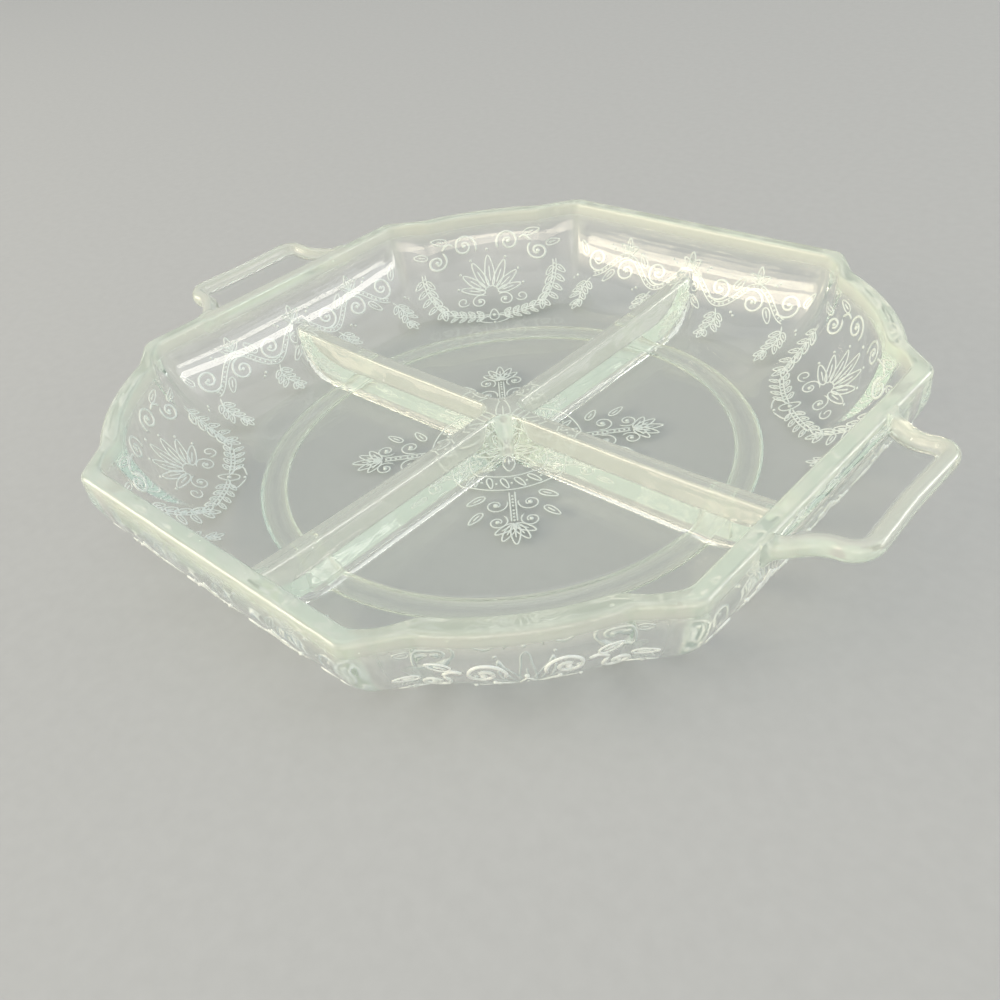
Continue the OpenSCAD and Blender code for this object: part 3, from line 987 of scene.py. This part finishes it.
def fire_polished_glass():
    """Pressed soda-lime glass: clear, pale green where it is thick, and milky where a painted glow
    stands in for light caught inside it.
    """
    material, tree, place = new_material("fire_polished_soda_glass")
    waves = add(tree, "ShaderNodeTexNoise", inputs={
        "Vector": place, "Scale": 1 / ripple_width, "Detail": 1.5, "Roughness": 0.4})
    ripple = add(tree, "ShaderNodeBump", inputs={
        "Strength": 0.06, "Distance": ripple_height, "Height": waves})
    # The mark carries the pale green of thick glass and a painted glow: where it is high, the base
    # colour turns pale and the glass partly milky, standing in for light caught inside
    green_and_glow = add(tree, "ShaderNodeAttribute", {"attribute_name": "green_and_painted_glow"}).outputs["Fac"]
    shade = add(tree, "ShaderNodeMix", {"data_type": "RGBA"}, {
        FACTOR: green_and_glow, COLOUR_A: linear("#FEFFFE"), COLOUR_B: linear("#EFF3E8")})
    clear = add(tree, "ShaderNodeMapRange", inputs={"Value": green_and_glow, "To Min": 1.0, "To Max": 0.62})
    cells = add(tree, "ShaderNodeTexVoronoi", inputs={"Vector": place, "Scale": 1 / speck_spacing})
    chance = add(tree, "ShaderNodeSeparateColor", inputs=[cells.outputs["Color"]])
    kept = add(tree, "ShaderNodeMath", {"operation": "GREATER_THAN"}, [chance, bare_share])
    speck = add(tree, "ShaderNodeMapRange", inputs={
        "Value": cells, "From Min": 0.03, "From Max": 0.07, "To Min": 0.5, "To Max": 0.0})
    dust = add(tree, "ShaderNodeMath", {"operation": "MULTIPLY"}, [speck, kept])
    passing = add(tree, "ShaderNodeMath", {"operation": "SUBTRACT", "use_clamp": True}, [clear, dust])
    glass = add(tree, "ShaderNodeBsdfPrincipled", inputs={
        "Base Color": shade.outputs[COLOUR_RESULT], "Roughness": 0.015, "IOR": 1.52,
        "Transmission Weight": passing, "Normal": ripple})
    # Light that has bounced too often inside is spread softly, where it would end as black
    ray = add(tree, "ShaderNodeLightPath").outputs
    mirrored = add(tree, "ShaderNodeMath", {"operation": "GREATER_THAN"}, [
        ray["Glossy Depth"], mirrorings + 0.5])
    bounced = add(tree, "ShaderNodeMath", {"operation": "GREATER_THAN"}, [
        ray["Ray Depth"], bounces + 0.5])
    spent = add(tree, "ShaderNodeMath", {"operation": "MAXIMUM"}, [mirrored, bounced])
    spread = add(tree, "ShaderNodeBsdfTranslucent", inputs=[linear("#CFE0D8")])
    seen = add(tree, "ShaderNodeMixShader", inputs=[spent, glass, spread])
    # The floor and the relief are lit through the glass
    lit = add(tree, "ShaderNodeMath", {"operation": "MAXIMUM"}, [
        ray["Is Shadow Ray"], ray["Is Diffuse Ray"]])
    through = add(tree, "ShaderNodeBsdfTransparent", inputs=[linear("#FAFBFA")])
    surface = add(tree, "ShaderNodeMixShader", inputs=[lit, seen, through])
    tint = add(tree, "ShaderNodeVolumeAbsorption", inputs={"Color": linear("#C2E0D0"), "Density": 3.6})
    add(tree, "ShaderNodeOutputMaterial", inputs={"Surface": surface, "Volume": tint})
    return material


def grained_material(name, grain_width, detail, dark, light, settings):
    """A Principled surface whose colour wanders between two shades over a fine grain."""
    material, tree, place = new_material(name)
    grain = add(tree, "ShaderNodeTexNoise", inputs={
        "Vector": place, "Scale": 1 / grain_width, "Detail": detail})
    shade = add(tree, "ShaderNodeMix", {"data_type": "RGBA"}, {
        FACTOR: grain, COLOUR_A: linear(dark), COLOUR_B: linear(light)})
    skin = add(tree, "ShaderNodeBsdfPrincipled", inputs={
        "Base Color": shade.outputs[COLOUR_RESULT], **settings})
    add(tree, "ShaderNodeOutputMaterial", inputs={"Surface": skin})
    return material


def relief_glass_painted_white():
    """Finely moulded relief, painted a matt white that stands in for the light its clear ridges catch,
    so that it draws white lines.
    """
    return grained_material("relief_glass_painted_white", relief_grain, 2.0, "#DDE8E3", "#FBFDFC",
                            {"Roughness": 0.42, "IOR": 1.52})


def matt_painted_board():
    """Matt painted board, pale grey."""
    return grained_material("matt_floor", paint_grain, 3.0, "#B9BBBB", "#C1C3C3", {"Roughness": 0.8})


# The floor lies a hair under the foot ring, so that the two never share a surface
floor_half = 4.0
floor_gap = 0.05 * MM


def make_floor(bm):
    bmesh.ops.create_grid(bm, x_segments=1, y_segments=1, size=floor_half,
                          matrix=Matrix.Translation((0, 0, -floor_gap)))


# Lamps: name, place, what they face, width and height in metres, watts, colour and beam angle.
# The front strip's beam is narrow, so that it leaves no bright band on the floor beside it.
lamps = (("overhead", (0, 0, 3.0), (0, 0, 0), (4.0, 4.0), 28, "#FFFFFF", 180),
         ("left_strip", (-0.95, -1.05, 0.52), (0, 0, 0.02), (1.1, 0.34), 8, "#FFF1D8", 180),
         ("right_strip", (1.15, 0.9, 0.34), (0, 0, 0.02), (1.1, 0.16), 4, "#FFFAF0", 180),
         ("front_strip", (1.05, -1.05, 0.27), (0, 0, 0.02), (2.4, 0.22), 1.9, "#FFF3DC", 100))

# Soft reflectors far off: azimuth, elevation, strength and colour, and how fast they fade,
# as the cosine of the angle from their middle
reflectors = ((230, 15, 3.2, "#FFF0D4"), (40, 15, 1.8, "#FBFBFF"), (-56, 22, 1.2, "#FFF6E8"))
reflector_edge, reflector_core = 0.88, 0.985

# Strength of the room's light at the horizon and from a height upwards
room_low, room_high, room_high_from = 0.04, 0.5, 0.7


def area_light(name, place, towards, size, power, colour, beam):
    lamp = bpy.data.lights.new(name, "AREA")
    lamp.shape, lamp.size, lamp.size_y = "RECTANGLE", size[0], size[1]
    lamp.energy, lamp.color, lamp.spread = power, linear(colour)[:3], math.radians(beam)
    light = bpy.data.objects.new(name, lamp)
    light.location = place
    light.rotation_euler = (Vector(towards) - Vector(place)).to_track_quat("-Z", "Y").to_euler()
    bpy.context.scene.collection.objects.link(light)


def studio_world():
    """A grey room with large soft reflectors. Eye and glass see it as a pale backdrop."""
    world = bpy.data.worlds.new("studio")
    world.use_nodes = True
    tree = world.node_tree
    tree.nodes.clear()
    way = add(tree, "ShaderNodeTexCoord").outputs["Generated"]
    ray = add(tree, "ShaderNodeLightPath").outputs
    height = add(tree, "ShaderNodeSeparateXYZ", inputs=[way]).outputs["Z"]
    level = add(tree, "ShaderNodeMapRange", {"interpolation_type": "SMOOTHSTEP"}, {
        "Value": height, "From Max": room_high_from, "To Min": room_low, "To Max": room_high})
    room = add(tree, "ShaderNodeBackground", inputs=[linear("#F4F8FA"), level])
    pale = add(tree, "ShaderNodeBackground", inputs=[linear("#ADAEAD"), 1.0])
    in_glass = add(tree, "ShaderNodeMath", {"operation": "MAXIMUM"}, [
        ray["Is Glossy Ray"], ray["Is Transmission Ray"]])
    seen = add(tree, "ShaderNodeMath", {"operation": "MAXIMUM"}, [ray["Is Camera Ray"], in_glass])
    light = add(tree, "ShaderNodeMixShader", inputs=[seen, room, pale])
    for azimuth, elevation, strength, colour in reflectors:
        up = math.radians(elevation)
        middle = (*(heading(math.radians(azimuth)) * math.cos(up)), math.sin(up))
        near = add(tree, "ShaderNodeVectorMath", {"operation": "DOT_PRODUCT"}, [way, middle])
        glow = add(tree, "ShaderNodeMapRange", {"interpolation_type": "SMOOTHSTEP"}, {
            "Value": near.outputs["Value"], "From Min": reflector_edge, "From Max": reflector_core,
            "To Max": strength})
        reflector = add(tree, "ShaderNodeBackground", inputs=[linear(colour), glow])
        hidden = add(tree, "ShaderNodeMixShader", inputs=[ray["Is Camera Ray"], reflector])
        light = add(tree, "ShaderNodeAddShader", inputs=[light, hidden])
    add(tree, "ShaderNodeOutputWorld", inputs={"Surface": light})
    return world


# Camera at the photograph's viewing angle
camera_place = Vector((177.10, -169.29, 167.38)) * MM
camera_right = Vector((0.73546, 0.66714, -0.11843))
camera_up = Vector((-0.33683, 0.51164, 0.79042))
camera_back = camera_right.cross(camera_up)
camera_sensor, camera_lens, camera_nearest = 36.0, 35.76, 0.01

camera_data = bpy.data.cameras.new("camera")
camera_data.sensor_width, camera_data.lens = camera_sensor, camera_lens
camera_data.clip_start = camera_nearest
camera = bpy.data.objects.new("camera", camera_data)
camera.matrix_world = Matrix.Translation(camera_place) @ Matrix(
    (camera_right, camera_up, camera_back)).transposed().to_4x4()

scene = bpy.context.scene
scene.view_settings.view_transform = "Standard"
scene.collection.objects.link(camera)
scene.camera = camera
scene.world = studio_world()
for lamp in lamps:
    area_light(*lamp)

floor = new_piece("floor", make_floor, matt_painted_board())

glass = fire_polished_glass()
tray = union(new_piece("pressed_tray", make_dish, glass),
             [new_piece("handle_right", make_handle, glass),
              new_piece("handle_left", make_left_handle, glass)])
mark_green_and_painted_glow(tray)
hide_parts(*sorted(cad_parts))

relief_painted_white = relief_glass_painted_white()
relief_pieces = [relief_piece("relief_floor", rosette(), under_floor, relief_painted_white)]
corner_scale = 1.12
panels = ((vine(), onto_wall(0.0, half, flat_x), ("right", "back", "left", "front")),
          (palmette(), onto_wall(EIGHTH_TURN, lobe_mid + lobe_r, floor_r, corner_scale),
           ("back_right", "back_left", "front_left", "front_right")))
for relief, place, places in panels:
    for quarter_turns, where in enumerate(places):
        relief_pieces.append(relief_piece(f"relief_{where}", relief, place, relief_painted_white, quarter_turns))
for piece in [tray] + relief_pieces:
    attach(piece, "root")
